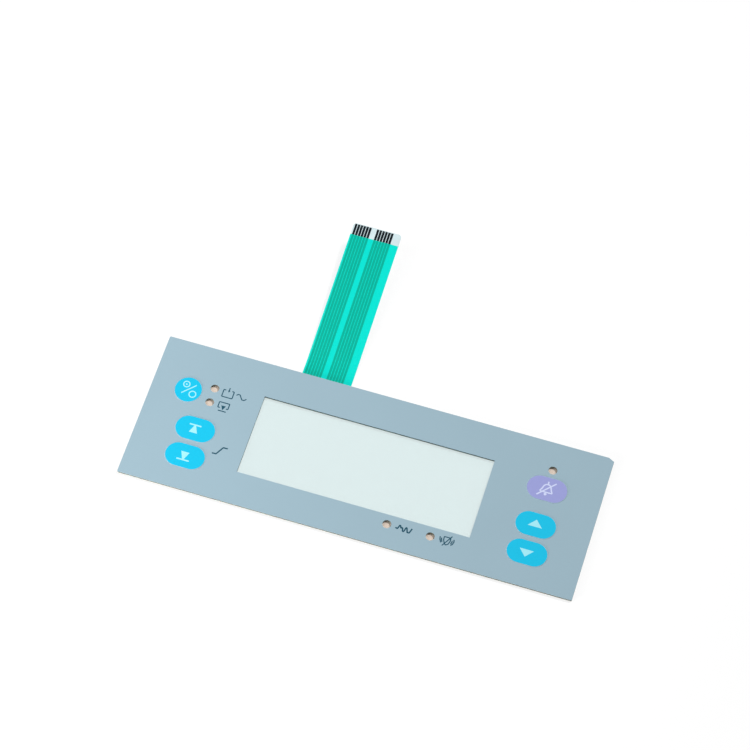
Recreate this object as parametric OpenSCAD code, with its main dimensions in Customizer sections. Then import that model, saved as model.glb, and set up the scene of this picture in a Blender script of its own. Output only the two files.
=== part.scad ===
// Membrane keypad: a printed overlay on a stack of die-cut films, with a snap dome
// under each of six keys, five sight holes for lamps, a display window and a flat tail.
// Millimetres. The origin is the middle of the rear face, +Z points out of the printed
// face, +X runs along the panel and the tail leaves towards +Y.

/* [Panel] */
// Width of the panel
panel_w = 190; // [180:1:230]
// Height of the panel, without the tail
panel_h = 65; // [63:1:90]
// Radius of the three plain corners
corner_r = 0.5; // [0.3:0.1:2]
// Length of the corner cut along the top edge
corner_cut_w = 2.4; // [1:0.1:6]
// Length of the corner cut down the right edge
corner_cut_h = 1.2; // [1:0.1:4]

/* [Window] */
// Width of the display window
window_w = 97.8; // [60:0.1:100]
// Height of the display window
window_h = 35.9; // [20:0.1:36]
// Offset of the window to the right of the panel's middle
window_x = 0; // [-2:0.1:2]
// Offset of the window above the panel's middle
window_y = -0.4; // [-0.6:0.1:1]
// How far the clear film reaches behind the edge of its opening
window_lap = 1.6; // [0.8:0.1:2.4]

/* [Keys] */
// Length of a long key
key_w = 16.4; // [12:0.1:20]
// Height of a long key
key_h = 10.4; // [10:0.1:11.6]
// Diameter of the round key
round_key_d = 11.1; // [10:0.1:14]
// Distance of the round key from the left edge
round_key_inset = 15.3; // [15:0.1:17]
// Distance of the left long keys from the left edge
left_key_inset = 23.9; // [23:0.1:26]
// Distance of the right keys from the right edge
right_key_inset = 22.5; // [21:0.1:25]
// Height of the round key above the panel's middle
round_key_y = 11.1; // [9:0.1:14]
// Height of the alarm key above the panel's middle
alarm_key_y = 11.4; // [9:0.1:12]
// Height of the first row of long keys above the panel's middle
key_row_y = -5.2; // [-6:0.1:-4]
// Distance between the two rows of long keys
key_pitch = 12.7; // [12.2:0.1:15]
// Height of the embossing that lifts each key
emboss_h = 0.15; // [0.05:0.01:0.3]
// Width of the sloping rim of the embossing
emboss_rim = 0.35; // [0.1:0.05:0.6]

/* [Lamp holes] */
// Diameter of a sight hole
lamp_d = 3.6; // [2:0.1:4.2]
// Distance of the two left holes from the left edge
left_lamp_inset = 25.5; // [25:0.1:32]
// Height of the mains hole above the panel's middle
mains_lamp_y = 14.9; // [14:0.1:18]
// Distance from the mains hole down to the battery hole
left_lamp_pitch = 6.6; // [5.2:0.1:7]
// Distance from the alarm key up to its hole
alarm_lamp_rise = 8.8; // [8:0.1:9]
// Distance from the window's lower edge down to the two lower holes
lower_lamp_drop = 4.2; // [2.5:0.1:8]
// Offset of the first lower hole to the right of the panel's middle
pulse_lamp_x = 15.7; // [0:0.1:25]
// Distance between the two lower holes
lower_lamp_pitch = 18.1; // [8:0.1:24]

/* [Layers] */
// Thickness of the paper release liner
liner_t = 0.1; // [0.05:0.01:0.2]
// Thickness of the rear adhesive
rear_adhesive_t = 0.15; // [0.05:0.01:0.3]
// Thickness of the circuit film and its tail
film_t = 0.125; // [0.075:0.005:0.2]
// Thickness of the printed silver tracks
track_t = 0.02; // [0.01:0.002:0.03]
// Thickness of the insulating coat over the tracks
coat_t = 0.04; // [0.036:0.002:0.08]
// Thickness of the dome spacer
spacer_t = 0.35; // [0.25:0.01:0.6]
// Thickness of the dome retainer
retainer_t = 0.06; // [0.03:0.01:0.15]
// Thickness of the overlay adhesive and of the clear window film in it
bond_t = 0.125; // [0.05:0.005:0.25]
// Thickness of the printed overlay
overlay_t = 0.25; // [0.15:0.01:0.4]
// Thickness of the printed key faces
print_t = 0.02; // [0.01:0.005:0.05]

/* [Domes] */
// Diameter of a snap dome over its four legs
dome_d = 8.5; // [7:0.1:9]
// Thickness of the dome's steel
dome_t = 0.06; // [0.04:0.01:0.1]
// Radius of the scallop between two legs
scallop_r = 2.6; // [1.5:0.1:3]
// Distance of a scallop's middle from the dome's middle
scallop_reach = 5.4; // [5:0.1:6]
// Gap between a dome and the wall of its pocket
dome_gap = 0.3; // [0.1:0.05:0.5]
// Width of the air channel that joins two pockets
vent_w = 1.2; // [0.6:0.1:2]

/* [Circuit] */
// Width of a silver track inside the panel
track_w = 0.5; // [0.3:0.05:0.6]
// Spacing of the tracks inside the panel
track_pitch = 1; // [0.8:0.05:1.1]
// Distance of the outermost track from the panel's edge
track_inset = 4; // [2:0.1:4.5]
// Diameter of the middle pad under a dome
pad_d = 3; // [2:0.1:4]
// Width of the ring pad that the dome's legs stand on
ring_w = 1.3; // [0.8:0.1:1.5]
// Width of the gap that lets the middle pad's track through its ring
ring_gap = 1.6; // [1.2:0.1:2]
// Distance of a ring's own track below the middle of its key
ring_feed = 2.4; // [1.8:0.1:2.8]

/* [Tail] */
// Width of the tail
tail_w = 21; // [20.8:0.1:26]
// Offset of the tail's middle to the right of the panel's middle
tail_x = -27.3; // [-40:0.1:-10]
// Length of the tail beyond the panel, along the film
tail_len = 71.3; // [40:0.1:120]
// Length of the tail that leaves the panel level
tail_level = 3; // [1:0.5:8]
// Radius of the bend that lifts the tail
bend_r = 60; // [30:1:120]
// Angle at which the tail rises behind its bend
tail_angle = 7; // [0.5:0.5:12]
// Radius of the two corners at the tail's end
tail_corner_r = 1.4; // [0.5:0.1:2]
// Length of the stiffener behind the tail's end
stiffener_len = 9; // [6:0.5:15]
// Thickness of the stiffener
stiffener_t = 0.18; // [0.1:0.01:0.25]

/* [Contacts] */
// Spacing of the contact fingers
finger_pitch = 1.25; // [1.1:0.01:1.27]
// Width of a contact finger
finger_w = 1; // [0.5:0.02:1.04]
// Length of a contact finger
finger_len = 5.3; // [3:0.1:6]
// Width of a track on the tail
tail_track_w = 0.62; // [0.4:0.02:0.7]
// Distance between the two groups of fingers, middle to middle of their nearest fingers
group_gap = 3.3; // [2.5:0.05:3.6]
// Distance of the first finger from the tail's left edge
finger_inset = 1.2; // [0.7:0.05:1.5]
// Bare film left beyond the fingers
tip_margin = 0.3; // [0:0.1:0.6]

/* [Hidden] */
$fn = 64;

// Faces of the stack, from the rear face up
rear_z = liner_t;
film_z = rear_z + rear_adhesive_t;
track_z = film_z + film_t;
spacer_z = track_z + coat_t;
retainer_z = spacer_z + spacer_t;
bond_z = retainer_z + retainer_t;
overlay_z = bond_z + bond_t;
face_z = overlay_z + overlay_t;
key_z = face_z + emboss_h;

// Play between parts that are cut apart and laid side by side
lay_gap = 0.1;
// Play between a dome's crown and the sheet over it
crown_gap = 0.02;
// How far the cutter of the coat's grooves passes the coat's underside and its end
groove_sink = 0.02;
groove_overrun = 1;

// The six keys, in the order on/standby, upper limit, lower limit, alarm silence, up, down
KEY_COUNT = 6;
KEYS_PER_SIDE = 3;
left_key_x = -panel_w / 2 + left_key_inset;
right_key_x = panel_w / 2 - right_key_inset;
low_row_y = key_row_y - key_pitch;
key_places = [
    [-panel_w / 2 + round_key_inset, round_key_y],
    [left_key_x, key_row_y],
    [left_key_x, low_row_y],
    [right_key_x, alarm_key_y],
    [right_key_x, key_row_y],
    [right_key_x, low_row_y]
];
function key_radius(k) = (k == 0 ? round_key_d : key_h) / 2;
// Half the straight stretch between a key's round ends
function key_reach(k) = k == 0 ? 0 : (key_w - key_h) / 2;

left_lamp_x = -panel_w / 2 + left_lamp_inset;
lower_lamp_y = window_y - window_h / 2 - lower_lamp_drop;
lamp_places = [
    [left_lamp_x, mains_lamp_y],
    [left_lamp_x, mains_lamp_y - left_lamp_pitch],
    [right_key_x, alarm_key_y + alarm_lamp_rise],
    [pulse_lamp_x, lower_lamp_y],
    [pulse_lamp_x + lower_lamp_pitch, lower_lamp_y]
];

// Snap dome: a spherical cap that stands on the ring pad
pocket_r = dome_d / 2 + dome_gap;
dome_foot_z = track_z + track_t;
dome_rise = spacer_t + coat_t - track_t - crown_gap;
dome_sphere_r = ((dome_d / 2) ^ 2 + dome_rise ^ 2) / (2 * dome_rise);
LEGS = 4;
// Facets of the dome's whole sphere, of which the dome is a small cap
DOME_FACETS = 720;

// Tracks: two nets for each key, six to a side, numbered from the outermost one
NETS_PER_SIDE = 2 * KEYS_PER_SIDE;
tail_left = tail_x - tail_w / 2;
tail_right = tail_x + tail_w / 2;
first_finger_x = tail_left + finger_inset;
last_finger_x = first_finger_x + 2 * (NETS_PER_SIDE - 1) * finger_pitch + group_gap;
function finger_x(side, net) =
    side < 0 ? first_finger_x + net * finger_pitch : last_finger_x - net * finger_pitch;
function net_key(side, net) =
    (side < 0 ? 0 : KEYS_PER_SIDE) + KEYS_PER_SIDE - 1 - floor(net / 2);
function is_ring(net) = net % 2 == 0;
ring_out_r = dome_d / 2 + dome_gap / 2;
ring_mid_r = ring_out_r - ring_w / 2;

// Corners of a net's run: off the tail, along the top, down the side and in to its pad
function net_run(side, net) = let (
    place = key_places[net_key(side, net)],
    inset = track_inset + net * track_pitch,
    row_y = panel_h / 2 - inset,
    column_x = side * (panel_w / 2 - inset),
    pad_y = place[1] - (is_ring(net) ? ring_feed : 0),
    pad_x = place[0] + (is_ring(net) ? side * sqrt(ring_mid_r ^ 2 - ring_feed ^ 2) : 0),
    start_x = finger_x(side, net)
) [
    [start_x, panel_h / 2],
    [start_x, row_y],
    [column_x, row_y],
    [column_x, pad_y],
    [pad_x, pad_y]
];

// Tail: level, then bent up on an arc, then straight; n is the height above the film's rear face
BEND_STEPS = 4;
tail_lap = 5;
bend_len = bend_r * tail_angle * PI / 180;
function bend_angle(s) = min(max((s - tail_level) / bend_r * 180 / PI, 0), tail_angle);
function tail_point(s, n) = let (
    angle = bend_angle(s),
    level = min(s, tail_level),
    straight = max(s - tail_level - bend_len, 0)
) [
    panel_h / 2 + level + (bend_r - n) * sin(angle) + straight * cos(angle),
    film_z + bend_r - (bend_r - n) * cos(angle) + straight * sin(angle)
];
function tail_stops(from, to) = concat(
    [from],
    [
        for (step = [0:BEND_STEPS])
            let (s = tail_level + bend_len * step / BEND_STEPS)
            if (s > from && s < to) s
    ],
    [to]
);
coat_end = tail_len - finger_len;
tip_y = tail_point(tail_len, 0)[0];

// Outlines

module corner_waste(side_x, side_y) {
    translate([side_x * (panel_w / 2 - corner_r), side_y * (panel_h / 2 - corner_r)])
        difference() {
            translate([side_x * corner_r, side_y * corner_r])
                square(2 * corner_r, center = true);
            circle(corner_r);
        }
}

module panel_outline() {
    difference() {
        square([panel_w, panel_h], center = true);
        corner_waste(-1, 1);
        corner_waste(-1, -1);
        corner_waste(1, -1);
        polygon([
            [panel_w / 2 - corner_cut_w, panel_h / 2],
            [panel_w / 2, panel_h / 2],
            [panel_w / 2, panel_h / 2 - corner_cut_h]
        ]);
    }
}

module window_outline(grow = 0) {
    translate([window_x, window_y])
        square([window_w + 2 * grow, window_h + 2 * grow], center = true);
}

module lamp_outlines() {
    for (place = lamp_places)
        translate(place)
            circle(d = lamp_d);
}

module key_outline(k, grow = 0) {
    translate(key_places[k]) {
        for (side = [-1, 1])
            translate([side * key_reach(k), 0])
                circle(key_radius(k) + grow);
        if (key_reach(k) > 0)
            square([2 * key_reach(k), 2 * (key_radius(k) + grow)], center = true);
    }
}

module pocket_outlines() {
    for (place = key_places)
        translate(place)
            circle(pocket_r);
}

module vent_outlines() {
    for (first = [0, KEYS_PER_SIDE])
        for (k = [first:first + KEYS_PER_SIDE - 2])
            let (a = key_places[k], b = key_places[k + 1])
            translate(a)
                rotate(atan2(b[1] - a[1], b[0] - a[0]))
                    translate([0, -vent_w / 2])
                        square([norm(b - a), vent_w]);
}

// One film of the stack, with its cut-outs as children
module sheet(z, thickness) {
    translate([0, 0, z])
        linear_extrude(thickness)
            difference() {
                panel_outline();
                children();
            }
}

// One film of the tail between two distances from the panel and two heights
module tail_film(from, to, low, high, x_low, x_high) {
    stops = tail_stops(from, to);
    lower = [for (s = stops) tail_point(s, low)];
    upper = [for (i = [len(stops) - 1:-1:0]) tail_point(stops[i], high)];
    translate([x_low, 0, 0])
        rotate([90, 0, 90])
            linear_extrude(x_high - x_low)
                polygon(concat(lower, upper));
}

// What is trimmed off the two corners of the tail's end
module tail_corner_waste() {
    for (side = [-1, 1])
        translate([tail_x + side * (tail_w / 2 - tail_corner_r), tip_y - tail_corner_r, 0])
            linear_extrude(tail_len)
                difference() {
                    translate([side * tail_corner_r, tail_corner_r])
                        square(2 * tail_corner_r, center = true);
                    circle(tail_corner_r);
                }
}

// The raised form of a key: a flat top with a sloping rim
module emboss(k, z) {
    low_r = key_radius(k) + emboss_rim;
    high_r = key_radius(k);
    translate([key_places[k][0], key_places[k][1], z]) {
        for (side = [-1, 1])
            translate([side * key_reach(k), 0, 0])
                cylinder(h = emboss_h, r1 = low_r, r2 = high_r);
        if (key_reach(k) > 0)
            rotate([90, 0, 90])
                linear_extrude(2 * key_reach(k), center = true)
                    polygon([[-low_r, 0], [low_r, 0], [high_r, emboss_h], [-high_r, emboss_h]]);
    }
}

// A straight stretch of track between two corners
module track_stretch(a, b) {
    low = [min(a[0], b[0]), min(a[1], b[1])];
    translate(low - [track_w, track_w] / 2)
        square([abs(b[0] - a[0]) + track_w, abs(b[1] - a[1]) + track_w]);
}

module pad_outline(side, net) {
    translate(key_places[net_key(side, net)])
        if (is_ring(net))
            difference() {
                circle(ring_out_r);
                circle(ring_out_r - ring_w);
                translate([side * ring_out_r / 2, 0])
                    square([ring_out_r + track_w, ring_gap], center = true);
            }
        else
            circle(d = pad_d);
}

module net_outline(side, net) {
    corners = net_run(side, net);
    intersection() {
        panel_outline();
        for (i = [0:len(corners) - 2])
            track_stretch(corners[i], corners[i + 1]);
    }
    pad_outline(side, net);
}

// Films of the stack

module release_liner() {
    color("#e3cdb9")
        sheet(0, liner_t)
            window_outline();
}

module rear_adhesive() {
    color("#b9a78f")
        sheet(rear_z, rear_adhesive_t) {
            window_outline();
            lamp_outlines();
        }
}

module circuit_film() {
    color("#eaf0f4") {
        difference() {
            union() {
                sheet(film_z, film_t) {
                    window_outline();
                    lamp_outlines();
                }
                tail_film(-tail_lap, tail_len, 0, film_t, tail_left, tail_right);
            }
            tail_corner_waste();
        }
    }
}

// All twelve nets, or with a sink and an overrun the grooves they leave in the coat
module nets(sink = 0, overrun = 0) {
    for (side = [-1, 1])
        for (net = [0:NETS_PER_SIDE - 1])
            let (x = finger_x(side, net)) {
                translate([0, 0, track_z - sink])
                    linear_extrude(track_t + sink)
                        net_outline(side, net);
                tail_film(0, coat_end + overrun, film_t - sink, film_t + track_t,
                    x - tail_track_w / 2, x + tail_track_w / 2);
            }
}

module silver_tracks() {
    color("#b9bcc0")
        nets();
}

module insulating_coat() {
    color("#16d9c4")
        difference() {
            union() {
                sheet(track_z, coat_t) {
                    window_outline();
                    lamp_outlines();
                    pocket_outlines();
                }
                tail_film(-tail_lap, coat_end, film_t, film_t + coat_t, tail_left, tail_right);
            }
            nets(groove_sink, groove_overrun);
        }
}

module carbon_fingers() {
    color("#1b1c1f")
        for (side = [-1, 1])
            for (net = [0:NETS_PER_SIDE - 1])
                let (x = finger_x(side, net))
                tail_film(coat_end, tail_len - tip_margin, film_t, film_t + track_t,
                    x - finger_w / 2, x + finger_w / 2);
}

module tail_stiffener() {
    color("#f1f3f4")
        difference() {
            tail_film(tail_len - stiffener_len, tail_len, -stiffener_t, 0, tail_left, tail_right);
            tail_corner_waste();
        }
}

module dome_spacer() {
    color("#4a4543")
        sheet(spacer_z, spacer_t) {
            window_outline();
            lamp_outlines();
            pocket_outlines();
            vent_outlines();
        }
}

// Half the section of a dome, round the middle of its sphere
module dome_section() {
    intersection() {
        difference() {
            circle(dome_sphere_r, $fn = DOME_FACETS);
            circle(dome_sphere_r - dome_t, $fn = DOME_FACETS);
        }
        translate([0, dome_sphere_r - dome_rise])
            square([dome_d / 2, 2 * dome_rise]);
    }
}

module snap_dome(k) {
    crown_z = dome_foot_z + dome_rise;
    color("#b4b7ba")
        translate([key_places[k][0], key_places[k][1], crown_z - dome_sphere_r])
            difference() {
                rotate_extrude()
                    dome_section();
                for (leg = [0:LEGS - 1])
                    rotate(360 * (leg + 0.5) / LEGS)
                        translate([scallop_reach, 0, 0])
                            cylinder(r = scallop_r, h = 2 * dome_sphere_r);
            }
}

module dome_retainer() {
    color("#4a4543")
        sheet(retainer_z, retainer_t) {
            window_outline();
            lamp_outlines();
        }
}

module overlay_adhesive() {
    color("#b9a78f")
        sheet(bond_z, bond_t) {
            window_outline(window_lap + lay_gap);
            lamp_outlines();
            for (k = [0:KEY_COUNT - 1])
                key_outline(k, emboss_rim);
        }
}

module display_window() {
    color("#dfedee", 0.45)
        translate([0, 0, bond_z])
            linear_extrude(bond_t)
                window_outline(window_lap);
}

module graphic_overlay() {
    color("#a3bcc9")
        difference() {
            union() {
                sheet(overlay_z, overlay_t) {
                    window_outline();
                    lamp_outlines();
                }
                for (k = [0:KEY_COUNT - 1])
                    emboss(k, face_z);
            }
            for (k = [0:KEY_COUNT - 1])
                emboss(k, overlay_z);
        }
}

module key_face(k, tint) {
    color(tint)
        translate([0, 0, key_z])
            linear_extrude(print_t)
                key_outline(k);
}

cyan = "#2ccaf0";
lavender = "#a0a5de";

release_liner();
rear_adhesive();
circuit_film();
silver_tracks();
insulating_coat();
carbon_fingers();
tail_stiffener();
dome_spacer();
snap_dome(0);  // dome_on_standby
snap_dome(1);  // dome_upper_limit
snap_dome(2);  // dome_lower_limit
snap_dome(3);  // dome_alarm_silence
snap_dome(4);  // dome_up
snap_dome(5);  // dome_down
dome_retainer();
overlay_adhesive();
display_window();
graphic_overlay();
key_face(0, cyan);  // key_on_standby
key_face(1, cyan);  // key_upper_limit
key_face(2, cyan);  // key_lower_limit
key_face(3, lavender);  // key_alarm_silence
key_face(4, cyan);  // key_up
key_face(5, cyan);  // key_down
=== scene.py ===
"""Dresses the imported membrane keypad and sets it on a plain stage.

The overlay, the printed signs and the ridges of the tail's coat are made here; every other film, ink and
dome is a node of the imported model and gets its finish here. Everything is in metres, in the model's frame.
"""

import math

import bmesh
import bpy
from bpy.props import FloatProperty, FloatVectorProperty, IntProperty, PointerProperty
from mathutils import Matrix, Vector


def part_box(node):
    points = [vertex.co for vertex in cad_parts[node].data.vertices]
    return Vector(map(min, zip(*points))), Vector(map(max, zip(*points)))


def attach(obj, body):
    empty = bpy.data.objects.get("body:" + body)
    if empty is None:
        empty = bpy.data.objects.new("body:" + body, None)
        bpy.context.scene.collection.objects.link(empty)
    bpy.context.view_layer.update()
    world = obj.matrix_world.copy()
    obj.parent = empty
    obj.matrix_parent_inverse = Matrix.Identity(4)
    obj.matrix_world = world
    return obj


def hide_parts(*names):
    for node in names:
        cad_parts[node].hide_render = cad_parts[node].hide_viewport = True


bl_info = {
    "name": "Membrane Keypad",
    "version": (1, 0, 0),
    "blender": (4, 5, 0),
    "location": "View3D > Sidebar > Keypad",
    "description": "Dresses a membrane keypad with its prints, films and inks, and lights it",
    "category": "Object",
}

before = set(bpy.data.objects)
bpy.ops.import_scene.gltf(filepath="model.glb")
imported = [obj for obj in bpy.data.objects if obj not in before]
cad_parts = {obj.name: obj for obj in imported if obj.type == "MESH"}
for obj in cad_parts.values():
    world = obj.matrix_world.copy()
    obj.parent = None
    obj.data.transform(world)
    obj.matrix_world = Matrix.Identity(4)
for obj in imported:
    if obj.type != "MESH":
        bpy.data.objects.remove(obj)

MM = 0.001
BODY = "root"

ALARM_KEY = "key_alarm_silence"
KEY_NODES = (
    "key_on_standby",
    "key_upper_limit",
    "key_lower_limit",
    ALARM_KEY,
    "key_up",
    "key_down",
)
DOME_NODES = tuple(node.replace("key_", "dome_") for node in KEY_NODES)

# Steps that a round, a slope or a bend is drawn in
CORNER_STEPS = 8
KEY_END_STEPS = 40
LAMP_STEPS = 64
RIM_STEPS = 8
CUT_EDGE_STEPS = 2
RING_STEPS = 40
LINE_BEND_STEPS = 5
TAIL_BEND_STEPS = 8
RIDGE_STEPS = 16
# Edges sharper than these are rounded on the overlay and stay sharp on the ridges
CUT_EDGE_ANGLE = math.radians(50)
RIDGE_EDGE_ANGLE = math.radians(60)
# Upright part of a face's normal past which it counts as level
LEVEL = 0.9999


def linear(hex_colour):
    """An sRGB hex colour as linear red, green and blue."""
    values = [int(hex_colour[i:i + 2], 16) / 255 for i in (1, 3, 5)]
    return tuple(v / 12.92 if v <= 0.04045 else ((v + 0.055) / 1.055) ** 2.4 for v in values)


def length(name, description, default_mm):
    """A length property, stored in metres from a default in millimetres."""
    return FloatProperty(
        name=name, description=description, default=default_mm * MM, min=0, unit="LENGTH", precision=5
    )


def colour(name, description, hex_colour):
    """A colour property from an sRGB hex value."""
    return FloatVectorProperty(
        name=name, description=description, default=linear(hex_colour), size=3, min=0, max=1, subtype="COLOR"
    )


def angle(name, description, degrees):
    """An angle property from a default in degrees."""
    return FloatProperty(
        name=name, description=description, default=math.radians(degrees), subtype="ANGLE"
    )


def power(name, description, watts):
    """A lamp's power property."""
    return FloatProperty(name=name, description=description, default=watts, min=0, unit="POWER")


class KeypadSizes(bpy.types.PropertyGroup):
    """Sizes of the pieces that are made here."""

    corner_radius: length("Corner radius", "Radius of the three plain corners", 0.5)
    corner_cut_width: length("Corner cut width", "Length of the corner cut along the top edge", 2.4)
    corner_cut_height: length("Corner cut height", "Length of the corner cut down the right edge", 1.2)
    overlay_thickness: length("Overlay thickness", "Thickness of the printed overlay", 0.25)
    edge_softness: length("Edge softness", "Rounding that die cutting leaves on an edge", 0.04)
    window_lap: length("Window lap", "How far the clear film reaches behind its opening", 1.6)
    lamp_diameter: length("Lamp hole", "Diameter of a sight hole", 3.6)
    emboss_rim: length("Emboss rim", "Width of the sloping rim round a key", 0.35)
    ink_height: length("Ink height", "Thickness of a printed sign", 0.012)
    ink_pass: length("Ink pass", "How much higher each later stroke of a sign lies", 0.0015)
    ink_sink: length("Ink sink", "How far a sign reaches into the surface it is printed on", 0.004)
    key_line: length("Key sign line", "Width of the lines of the signs on the cyan keys", 0.46)
    fine_line: length("Fine sign line", "Width of the lines of the signs with small parts", 0.44)
    bold_line: length("Bold sign line", "Width of the lines of the bell, the step and the pulse", 0.58)
    line_corner: length("Line corner", "Radius of the bends in the lines", 0.25)
    tail_level: length("Level tail", "Length of the tail that leaves the panel level", 3)
    tail_bend: length("Tail bend", "Radius of the bend that lifts the tail", 60)
    tail_angle: angle("Tail angle", "Angle at which the tail rises behind its bend", 7)
    tail_length: length("Tail length", "Length of the tail beyond the panel", 71.3)
    bare_length: length("Bare end", "Length of the tail's end that has no coat", 5.3)
    film_thickness: length("Circuit film", "Thickness of the circuit film", 0.125)
    coat_thickness: length("Coat", "Thickness of the insulating coat", 0.04)
    ridges_per_group: IntProperty(
        name="Ridges in a group", description="Tracks in each of the tail's two groups", default=6, min=1
    )
    ridge_pitch: length("Ridge pitch", "Spacing of the tracks under the coat", 1.25)
    group_gap: length("Group gap", "Distance between the two groups of tracks", 3.3)
    first_ridge: length("First ridge", "Distance of the first track from the tail's edge", 1.2)
    ridge_width: length("Ridge width", "Width of the coat's rise over a track", 1.05)
    ridge_height: length("Ridge height", "Height of the coat's rise over a track", 0.02)


class KeypadColours(bpy.types.PropertyGroup):
    """Colours of the prints, films and inks."""

    overlay: colour("Overlay", "Blue-grey print of the overlay", "#9cb7c4")
    cyan: colour("Cyan keys", "Print of the five cyan keys", "#0cc6ed")
    lavender: colour("Lavender key", "Print of the alarm key", "#a0a5de")
    key_sign: colour("Key signs", "Signs on the cyan keys", "#aaf1fd")
    bell_sign: colour("Bell sign", "Sign on the lavender key", "#d6deff")
    panel_sign: colour("Panel signs", "Signs beside the lamp holes", "#1a4f62")
    window: colour("Window", "Tint of the clear window film", "#f0f6f6")
    coat: colour("Coat", "Insulating coat of the tail", "#03e6d6")
    coat_over_track: colour("Coat over tracks", "The coat where a silver track darkens it", "#00b39b")
    carbon: colour("Carbon", "Contact fingers", "#09161c")
    circuit_film: colour("Circuit film", "Milky film of the circuit and its tail", "#e3f7fb")
    white_film: colour("White film", "Film of the stiffener behind the contacts", "#f2f4f5")
    # Painted shade in part: besides the films' own colour, this dark is what darkens the cut walls of the
    # sight holes, the window's far edge and the keypad's front edge, standing in for the shade that falls
    # there.
    dark_film_and_wall_shade: colour("Dark film and wall shade", "Film of the spacer and of the dome retainer", "#3d3a39")
    adhesive: colour("Adhesive", "Acrylic adhesive", "#b9a78f")
    liner: colour("Liner", "Paper of the release liner", "#e8d4c4")
    silver: colour("Silver", "Printed silver tracks", "#c3c5c8")
    steel: colour("Steel", "Snap domes", "#c6c8ca")


class KeypadStage(bpy.types.PropertyGroup):
    """Camera, lamps and floor."""

    target: FloatVectorProperty(
        name="Target",
        description="Point that the camera looks at",
        default=(-8.94 * MM, 40.41 * MM, 1.2 * MM),
        subtype="TRANSLATION",
        unit="LENGTH",
    )
    distance: length("Distance", "Distance of the camera from its target", 1195.4)
    azimuth: angle("Azimuth", "Angle of the camera to the right of the front", 17.27)
    elevation: angle("Elevation", "Angle of the camera above the floor", 61.83)
    roll: angle("Roll", "Tilt of the picture", 0.12)
    lens: FloatProperty(name="Lens", description="Focal length in millimetres", default=140, unit="CAMERA")
    main_light: power("Main lamp", "Power of the lamp behind the keypad", 76.5)
    fill_light: power("Fill lamp", "Power of the soft lamp over the left end", 0.45)
    front_light: power("Front lamp", "Power of the low lamp before the left corner", 2.2)
    surround: FloatProperty(
        name="Surround", description="Strength of the pale surround's light", default=0.1, min=0
    )


# Meshes


def arc(centre, radius, start, end, steps):
    """Points on an arc between two angles in degrees."""
    angles = [math.radians(start + (end - start) * i / steps) for i in range(steps + 1)]
    return [(centre[0] + radius * math.cos(a), centre[1] + radius * math.sin(a)) for a in angles]


def circle(centre, radius, steps):
    """Points on a whole round."""
    return arc(centre, radius, 0, 360, steps)[:-1]


def add_node(tree, kind, settings=None, inputs=None):
    """Adds a node with its settings; an input is given a value or linked to another node's output."""
    node = tree.nodes.new(kind)
    for name, value in (settings or {}).items():
        setattr(node, name, value)
    for name, value in (inputs or {}).items():
        if isinstance(value, bpy.types.NodeSocket):
            tree.links.new(value, node.inputs[name])
        else:
            node.inputs[name].default_value = value
    return node


def new_object(name, data):
    """An object at the origin for a mesh, a lamp or a camera."""
    made = bpy.data.objects.new(name, data)
    bpy.context.scene.collection.objects.link(made)
    return made


def mesh_from(bm, name):
    """A mesh from a finished bmesh."""
    mesh = bpy.data.meshes.new(name)
    bm.to_mesh(mesh)
    bm.free()
    return mesh


def evaluated_mesh(draft):
    """The plain mesh that a draft's modifiers make; the draft is removed."""
    depsgraph = bpy.context.evaluated_depsgraph_get()
    mesh = bpy.data.meshes.new_from_object(draft.evaluated_get(depsgraph), depsgraph=depsgraph)
    bpy.data.objects.remove(draft)
    return mesh


def finish_piece(name, mesh, material):
    """Makes a finished piece of a mesh: its material and its body."""
    mesh.name = name
    mesh.materials.clear()
    mesh.materials.append(material)
    piece = new_object(name, mesh)
    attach(piece, BODY)
    return piece


def dress(nodes, material):
    """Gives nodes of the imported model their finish."""
    for node in nodes:
        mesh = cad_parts[node].data
        mesh.materials.clear()
        mesh.materials.append(material)


def run_tree(draft, tree, inputs):
    """Puts a geometry tree on a draft, with its inputs by name."""
    modifier = draft.modifiers.new(tree.name, "NODES")
    modifier.node_group = tree
    for item in tree.interface.items_tree:
        if item.item_type == "SOCKET" and item.in_out == "INPUT" and item.name in inputs:
            modifier[item.identifier] = inputs[item.name]


def new_tree(name, sockets):
    """A geometry tree with a mesh in and out and the named inputs; gives the tree and its input node."""
    tree = bpy.data.node_groups.new(name, "GeometryNodeTree")
    tree.interface.new_socket("Mesh", in_out="INPUT", socket_type="NodeSocketGeometry")
    for socket, kind in sockets.items():
        tree.interface.new_socket(socket, in_out="INPUT", socket_type=kind)
    tree.interface.new_socket("Mesh", in_out="OUTPUT", socket_type="NodeSocketGeometry")
    return tree, add_node(tree, "NodeGroupInput").outputs


def end_tree(tree, shapes, ink):
    """Ends a geometry tree: its copies are made real, get their material and go out."""
    real = add_node(tree, "GeometryNodeRealizeInstances", inputs={"Geometry": shapes})
    inked = add_node(
        tree, "GeometryNodeSetMaterial", inputs={"Geometry": real.outputs["Geometry"], "Material": ink}
    )
    add_node(tree, "NodeGroupOutput", inputs={"Mesh": inked.outputs["Geometry"]})


def path_mesh(name, paths):
    """A mesh of bare edges along paths, each given as its points and whether it closes."""
    bm = bmesh.new()
    for points, closed in paths:
        verts = [bm.verts.new(point) for point in points]
        for a, b in zip(verts, verts[1:] + verts[:1] if closed else verts[1:]):
            bm.edges.new((a, b))
    return mesh_from(bm, name)


# Materials

POLYESTER_IOR = 1.58
# Span of noise values that Map Range spreads over a whole range
NOISE_SPAN = {"From Min": 0.3, "From Max": 0.7}
# Sockets of the colour form of the Mix node, and of the Mix Shader node
MIX_FACTOR, MIX_A, MIX_B, MIX_RESULT = 0, 6, 7, 2
SHADER_FACTOR, SHADER_A, SHADER_B = 0, 1, 2


def new_material(name):
    """An empty node material; gives it with its tree and the output's surface socket."""
    material = bpy.data.materials.new(name)
    material.use_nodes = True
    tree = material.node_tree
    tree.nodes.clear()
    return material, tree, tree.nodes.new("ShaderNodeOutputMaterial").inputs["Surface"]


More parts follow.
